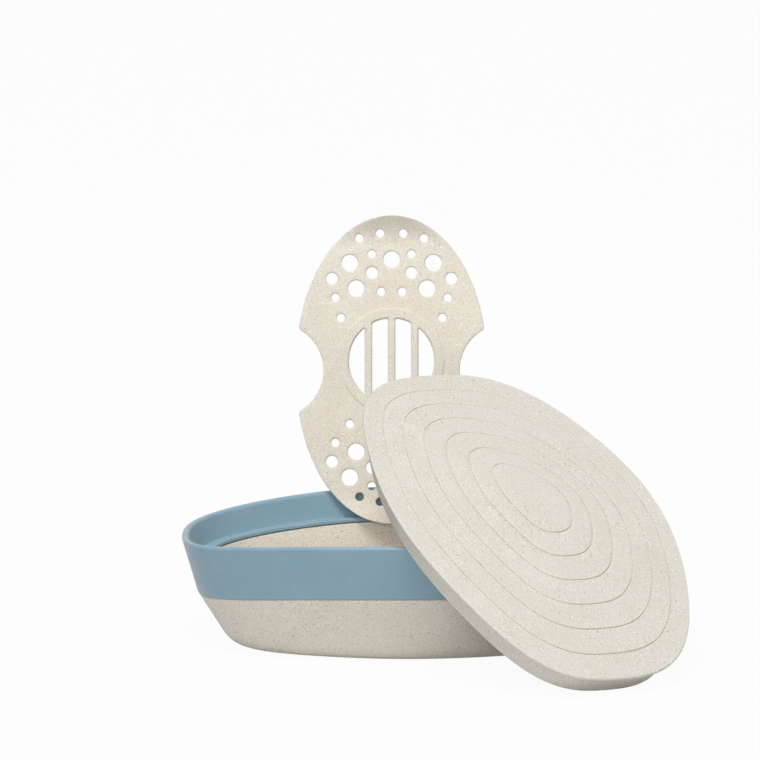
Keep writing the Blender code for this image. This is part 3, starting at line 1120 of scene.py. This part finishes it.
@dataclass
class InsertPlate(Piece):
    """The drain insert: a thin oval plate with turned-up ends, two finger notches and holes.

    The places of the round holes are shares of the half width and the half length, and the radii
    are those of the large, medium and small ones. The round window is cut into slots by bars, and
    a low disc stands round it.
    """

    name: str = "insert_plate"
    node: str = "drain_insert"
    body: str = "insert"
    finish: StrawFinish | RubberFinish = StrawFinish(
        ground=(0.75, 0.70, 0.60), cloud=(0.78, 0.735, 0.64)
    )
    half_length: float = 0.0387516
    half_width: float = 0.024121
    power: float = 2.06
    thickness: float = 0.0016
    bend_run: float = 0.008
    bend_radius: float = 0.01
    lean: float = math.radians(14)
    notch_radius: float = 0.0117
    notch_reach: float = 0.0171
    window_radius: float = 0.0107
    window_offset: float = 0.0023
    window_slots: int = 4
    window_bar: float = 0.0019
    disc_radius: float = 0.0132
    disc_rise: float = 0.0002
    disc_slope: float = 0.00028
    disc_shifts: tuple[float, ...] = (-0.0006, -0.00014, -0.00007, 0.0, 0.00007, 0.00014, 0.0006)
    edge: float = 0.0003
    hole_edge: float = 0.00035
    large: tuple[tuple[float, float], ...] = ((0.0, 0.717), (0.436, 0.695), (0.369, 0.529))
    medium: tuple[tuple[float, float], ...] = ((0.205, 0.631), (0.621, 0.593))
    small: tuple[tuple[float, float], ...] = ((0.207, 0.752), (0.109, 0.509), (0.585, 0.47))
    upper: tuple[tuple[float, float], ...] = ((0.12, 0.886), (0.336, 0.855), (0.528, 0.339))
    lower: tuple[tuple[float, float], ...] = ((0.12, 0.854), (0.333, 0.822), (0.435, 0.35))
    radii: tuple[float, float, float] = (0.0021, 0.0015, 0.00105)
    rim_points: int = 1440
    rim_spacing: float = 0.00028
    rim_rounds: int = 6
    slot_points: int = 160
    slot_spacing: float = 0.00012
    slot_rounds: int = 12
    hole_points: int = 48
    disc_points: int = 200
    edge_points: int = 5
    cell: float = 0.0011
    cell_height: float = 0.8
    loop_margin: float = 0.0005
    disc_margin: float = 0.001

    def bent(self, flat: np.ndarray, below: np.ndarray) -> np.ndarray:
        """Bends a flat pattern, given as seen from above, into the shape of the insert.

        Formula: past the level stretch the height is the bend's radius less the root of the radius
        at that depth squared less the way past squared.

        Args:
            flat: Places across and along the plate.
            below: Depth under the upper face.

        Returns:
            Points, one row each.
        """
        past = np.clip(np.abs(flat[:, 1]) - self.half_length + self.bend_run, 0.0, self.bend_run)
        height = self.bend_radius - np.sqrt((self.bend_radius + below) ** 2 - past**2)
        return np.column_stack((flat, height))

    def rim_loop(self) -> np.ndarray:
        """Edge of the plate as seen from above.

        Formula: a superellipse of the half sizes, with a circle bitten out of each side, and
        softened corners.

        Returns:
            Points, counter-clockwise.
        """
        turn = np.arange(self.rim_points) * (math.tau / self.rim_points)
        cosine, sine = np.cos(turn), np.sin(turn)
        x = self.half_width * np.sign(cosine) * np.abs(cosine) ** (2 / self.power)
        y = self.half_length * np.sign(sine) * np.abs(sine) ** (2 / self.power)
        bite = np.sqrt(np.clip(self.notch_radius**2 - y**2, 0.0, None))
        notch = self.notch_reach + self.notch_radius - bite
        notched = (np.abs(y) < self.notch_radius) & (np.abs(x) > notch)
        x = np.where(notched, np.sign(x) * notch, x)
        return softened(np.stack((x, y), axis=1), self.rim_spacing, self.rim_rounds)

    def window_loops(self) -> list[np.ndarray]:
        """Edges of the round window's slots.

        Formula: each slot is the part of a disc between two upright lines, with softened corners.

        Returns:
            A loop for each slot.
        """
        radius = self.window_radius
        width = (2 * radius - (self.window_slots - 1) * self.window_bar) / self.window_slots
        loops = []
        for slot in range(self.window_slots):
            left = slot * (width + self.window_bar) - radius
            x = np.linspace(left, left + width, self.slot_points)
            y = np.sqrt(np.clip(radius**2 - x**2, 0.0, None))
            upper = np.stack((x, y), axis=1)[::-1]
            lower = np.stack((x, -y), axis=1)
            loop = np.concatenate((upper, lower)) + (0.0, self.window_offset)
            loops.append(softened(loop, self.slot_spacing, self.slot_rounds))
        return loops

    def hole_loops(self) -> list[np.ndarray]:
        """Edges of the round holes, mirrored to both sides and mostly to both ends.

        Returns:
            A loop for each hole.
        """
        large, medium, small = self.radii
        tables = (
            (large, self.large, (-1, 1)),
            (medium, self.medium, (-1, 1)),
            (small, self.small, (-1, 1)),
            (small, self.upper, (1,)),
            (small, self.lower, (-1,)),
        )
        width, length = self.half_width, self.half_length
        return [
            circle((side * across * width, end * along * length), radius, self.hole_points)
            for radius, shares, ends in tables
            for across, along in shares
            for end in ends
            for side in ((-1, 1) if across else (1,))
        ]

    def disc(self, points: np.ndarray) -> np.ndarray:
        """Rise of the low disc about the window: a smooth step at its radius.

        Args:
            points: Places across and along the plate.

        Returns:
            The rise at each of them.
        """
        distance = np.hypot(points[:, 0], points[:, 1] - self.window_offset)
        outer = self.disc_radius + self.disc_slope / 2
        share = np.clip((outer - distance) / self.disc_slope, 0.0, 1.0)
        return self.disc_rise * share * share * (3 - 2 * share)

    def filling(self, loops: list[np.ndarray]) -> tuple[np.ndarray, np.ndarray]:
        """Fills the face between the plate's edge and its holes with even triangles.

        Formula: a Delaunay triangulation of the loops, the disc's step and a staggered grid of
        points, without the triangles whose middle lies outside the edge or in a hole.

        Args:
            loops: The plate's edge first, then the holes.

        Returns:
            The points of the face, and the three point numbers of each triangle.
        """
        steps = [
            circle((0.0, self.window_offset), self.disc_radius + shift, self.disc_points)
            for shift in self.disc_shifts
        ]
        rings = loops + steps
        x = np.arange(-self.half_width, self.half_width, self.cell)
        y = np.arange(-self.half_length, self.half_length, self.cell * self.cell_height)
        grid_x, grid_y = np.meshgrid(x, y)
        grid_x[1::2] += self.cell / 2
        grid = np.stack((grid_x.ravel(), grid_y.ravel()), axis=1)
        keep = within(grid, moved_out(loops[0], -self.loop_margin))
        for loop in loops[1:]:
            keep &= ~within(grid, moved_out(loop, self.loop_margin))
        distance = np.hypot(grid[:, 0], grid[:, 1] - self.window_offset)
        keep &= np.abs(distance - self.disc_radius) > self.disc_margin
        starts = np.cumsum([0] + [len(ring) for ring in rings])
        edges = np.concatenate(
            [
                np.stack((np.arange(len(ring)), np.roll(np.arange(len(ring)), -1)), axis=1) + start
                for ring, start in zip(rings, starts)
            ]
        )
        points = np.concatenate((*rings, grid[keep]))
        output_type, tolerance = 0, 1e-8
        result = delaunay_2d_cdt(points.tolist(), edges.tolist(), [], output_type, tolerance)
        points = np.array(result[0])
        faces = np.array(result[2])
        middles = points[faces].mean(axis=1)
        solid = within(middles, loops[0])
        for loop in loops[1:]:
            solid &= ~within(middles, loop)
        return points, faces[solid]

    def edge_wall(self, loop: np.ndarray, outward: float, edge: float) -> np.ndarray:
        """Wall round an edge of the plate, rounded over at both faces.

        Formula: the loop is set back by edge * (1 - sin) where it is edge * (1 - cos) below the
        upper face, goes straight down, and mirrors that at the lower face.

        Args:
            loop: The edge as seen from above.
            outward: 1 for the plate's own edge and -1 for a hole's.
            edge: Radius of the rounding.

        Returns:
            Array of rings, points and axes.
        """
        turn = np.linspace(0.0, math.pi / 2, self.edge_points)
        back = edge * (1 - np.sin(turn))
        down = edge * (1 - np.cos(turn))
        backs = np.concatenate((back, back[::-1]))
        downs = np.concatenate((down, self.thickness - down[::-1]))
        rings = []
        for set_back, below in zip(backs, downs):
            moved = moved_out(loop, -outward * set_back)
            rings.append(self.bent(moved, np.full(len(moved), below)))
        return np.stack(rings)

    def build(self) -> bpy.types.Object:
        """Fills both faces, walls every edge, and stands the plate in the tray.

        Returns:
            The insert.
        """
        cuts = self.hole_loops() + self.window_loops()
        edges = [(self.rim_loop(), 1.0, self.edge)] + [(cut, -1.0, self.hole_edge) for cut in cuts]
        loops = [moved_out(loop, -outward * edge) for loop, outward, edge in edges]
        flat, triangles = self.filling(loops)
        upper = self.bent(flat, -self.disc(flat))
        lower = self.bent(flat, np.full(len(flat), self.thickness))
        points = [upper, lower]
        faces = triangles.tolist() + (triangles[:, ::-1] + len(flat)).tolist()
        start = 2 * len(flat)
        for loop, outward, edge in edges:
            wall = self.edge_wall(loop, outward, edge)
            index = start + np.arange(wall.shape[0] * wall.shape[1]).reshape(wall.shape[:2])
            faces += quads_between(index[1:], index[:-1])
            points.append(wall.reshape(-1, 3))
            start += index.size
        turn = Matrix.Rotation(math.pi / 2 - self.lean, 3, "X")
        placed = set_in_place(np.concatenate(points), turn, self.node)
        return add_mesh(self.name, placed, faces)


@dataclass(frozen=True)
class SoftLamp:
    """A square lamp that looks at the middle of the case.

    Attributes:
        name: Name of the lamp.
        rise: Angle over the table.
        power: Power in watts.
        turn: Angle to the right of the case's front.
        distance: Distance from the case.
        size: Length of its sides.
    """

    name: str
    rise: float
    power: float
    turn: float = math.radians(-10)
    distance: float = 2.2
    size: float = 1.0

    def add(self) -> None:
        """Makes the lamp, raised by its rise and carried round the case by its turn."""
        data = bpy.data.lights.new(self.name, "AREA")
        data.shape = "SQUARE"
        data.size = self.size
        data.energy = self.power
        lamp = bpy.data.objects.new(self.name, data)
        away = self.distance * math.cos(self.rise)
        height = self.distance * math.sin(self.rise)
        lamp.location = (away * math.sin(self.turn), -away * math.cos(self.turn), height)
        lamp.rotation_euler = (math.pi / 2 - self.rise, 0.0, self.turn)
        bpy.context.scene.collection.objects.link(lamp)


@dataclass
class Studio:
    """A wide white table, a faint light from all round, three lamps and a camera.

    Two lamps stand in front, one low and one high, and a weak one behind.

    Attributes:
        camera_place: Place of the camera.
        camera_pitch: Its turn up from looking straight down.
        lens: Its focal length in millimetres.
        floor_reach: Radius of the table.
        floor_drop: How far it lies under the feet of the pieces.
        floor_seen: How much of it the camera and reflections see as plain white.
        floor_tone: Its darkest and lightest tone under that.
        around: Strength of the light from all round.
        mirrored: What reflections see of it.
    """

    camera_place: tuple[float, float, float] = (-0.007365, -4.899175, 1.065697)
    camera_pitch: float = math.radians(78.474)
    lens: float = 950.7
    floor_reach: float = 9.0
    floor_points: int = 96
    floor_patches: float = 3.0
    floor_drop: float = 0.00002
    floor_seen: float = 0.95
    floor_tone: tuple[float, float] = (0.72, 0.74)
    around: float = 0.12
    mirrored: float = 0.9
    lamps: tuple[SoftLamp, ...] = (
        SoftLamp("front_lamp", math.radians(20), 13.8, size=0.8),
        SoftLamp("upper_lamp", math.radians(65), 32.5),
        SoftLamp("back_lamp", math.radians(50), 9.0, turn=math.radians(180), size=2.0),
    )

    def add_floor(self) -> None:
        """A wide level disc, seen mostly as plain white, so that its shadow stays faint."""
        count = self.floor_points
        ring = circle((0.0, 0.0), self.floor_reach, count)
        points = np.concatenate((ring, np.full((count, 1), -self.floor_drop)), axis=1)
        mesh = bpy.data.meshes.new("floor")
        mesh.from_pydata(points.tolist(), [], [list(range(count))])
        floor = bpy.data.objects.new("floor", mesh)
        bpy.context.scene.collection.objects.link(floor)
        sheet = NodeSheet("floor_paint")
        sheet.shader.inputs["Roughness"].default_value = 0.9
        sheet.shader.inputs["Specular IOR Level"].default_value = 0.1
        tone = sheet.stretch(sheet.noise(self.floor_patches), 0.3, 0.7, *self.floor_tone)
        sheet.feed(sheet.shader.inputs["Base Color"], tone)
        glow = sheet.add("Emission")
        seen = self.seen_rays(sheet)
        share = sheet.math("MULTIPLY", seen, self.floor_seen)
        blend = sheet.add("MixShader")
        sheet.feed(blend.inputs[0], share)
        sheet.feed(blend.inputs[1], sheet.shader.outputs[0])
        sheet.feed(blend.inputs[2], glow.outputs[0])
        output = sheet.tree.nodes["Material Output"]
        sheet.tree.links.new(blend.outputs[0], output.inputs["Surface"])
        mesh.materials.append(sheet.material)

    @staticmethod
    def seen_rays(sheet: NodeSheet) -> bpy.types.NodeSocket:
        """Tells rays of the camera, of reflections and of what shines through from all others.

        Args:
            sheet: The material that asks.

        Returns:
            1 for such a ray, else 0.
        """
        path = sheet.add("LightPath")
        seen = sheet.math("MAXIMUM", path.outputs["Is Camera Ray"], path.outputs["Is Glossy Ray"])
        return sheet.math("MAXIMUM", seen, path.outputs["Is Transmission Ray"])

    def add_world(self) -> None:
        """A soft light from all round that the camera sees as white."""
        world = bpy.data.worlds.new("studio")
        world.use_nodes = True
        tree = world.node_tree
        background = tree.nodes["Background"]
        path = tree.nodes.new("ShaderNodeLightPath")
        mirrored = tree.nodes.new("ShaderNodeMapRange")
        mirrored.inputs["To Min"].default_value = self.around
        mirrored.inputs["To Max"].default_value = self.mirrored
        spread = tree.nodes.new("ShaderNodeMapRange")
        spread.inputs["To Max"].default_value = 1.0
        background.inputs["Color"].default_value = (1.0, 1.0, 1.0, 1.0)
        tree.links.new(path.outputs["Is Glossy Ray"], mirrored.inputs["Value"])
        tree.links.new(mirrored.outputs["Result"], spread.inputs["To Min"])
        tree.links.new(path.outputs["Is Camera Ray"], spread.inputs["Value"])
        tree.links.new(spread.outputs["Result"], background.inputs["Strength"])
        bpy.context.scene.world = world

    def add_camera(self) -> None:
        """A far camera with a long lens, at the photograph's angle."""
        data = bpy.data.cameras.new("camera")
        data.sensor_width = 36.0
        data.lens = self.lens
        data.clip_start = 0.1
        data.clip_end = 40.0
        camera = bpy.data.objects.new("camera", data)
        camera.location = self.camera_place
        camera.rotation_euler = (self.camera_pitch, 0.0, 0.0)
        bpy.context.scene.collection.objects.link(camera)
        bpy.context.scene.camera = camera

    def build(self) -> None:
        """Sets the whole studio up."""
        self.add_camera()
        self.add_floor()
        self.add_world()
        for lamp in self.lamps:
            lamp.add()
        bpy.context.scene.view_settings.view_transform = "Standard"


def main() -> None:
    """Builds the studio and the four pieces."""
    logging.basicConfig(level=logging.INFO, format="%(name)s: %(message)s")
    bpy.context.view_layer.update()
    Studio().build()
    for piece in (TrayShell(), BandCollar(), InsertPlate(), LidShell()):
        piece.dress()


if __name__ == "__main__":
    main()
